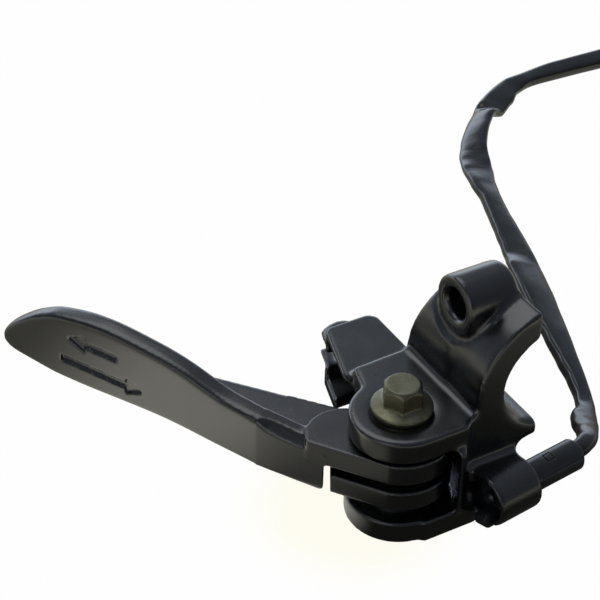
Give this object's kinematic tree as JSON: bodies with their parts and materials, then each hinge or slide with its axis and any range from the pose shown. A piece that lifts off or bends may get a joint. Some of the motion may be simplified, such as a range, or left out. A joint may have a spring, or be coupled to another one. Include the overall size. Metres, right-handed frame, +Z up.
{
  "type": "parking brake lever",
  "caption": "Handlebar parking brake lever with a cast saddle perch, pivoting curved blade, cable block, plunger switch and its sleeved lead.",
  "frame": {"origin": "on the handlebar's axis, at the middle of the saddle", "axes": "+Y along the handlebar towards the cable's barrel, +X out of the saddle's opening, +Z up along the lever's pivot"},
  "size_m": [0.2865, 0.1576, 0.0516],
  "materials": {
    "cast": "satin black paint on die-cast metal",
    "zinc": "zinc plated",
    "steel": "bright",
    "switch": "moulded black",
    "sleeve": "soft glossy sleeve",
    "wire": "insulated wire",
    "seal": "matt",
    "contact": "bright",
    "nylon": "natural nylon"
  },
  "bodies": {
    "body": {"perch": "cast", "pivot_bolt": "zinc", "pivot_bush": "steel", "pivot_nut": "zinc", "friction_washer": "steel", "wave_washer": "steel", "switch_body": "switch", "plunger_seal": "seal", "plunger_spring": "steel", "contact_pins": "contact", "switch_plug": "switch", "lead_sleeve": "sleeve", "lead_coil": "sleeve", "coil_tie": "switch", "lead_wires": "wire", "connector_housing": "nylon", "connector_lock": "nylon", "connector_pins": "contact"},
    "lever": {"lever": "cast"},
    "plunger": {"switch_plunger": "switch", "contact_bridge": "contact"}
  },
  "joints": [
    {"name": "lever_swing", "type": "hinge", "parent": "body", "child": "lever", "pos_m": [-0.0304, -0.0045, -0.0153], "axis": [0, 0, 1], "range_deg": [0, 115]},
    {"name": "plunger_press", "type": "slide", "parent": "body", "child": "plunger", "axis": [0.9925, 0.1219, 0], "range_m": [0, 0.0015], "stiffness_N_per_m": 300, "springref_m": -0.002, "deforming": ["plunger_spring"]}
  ]
}
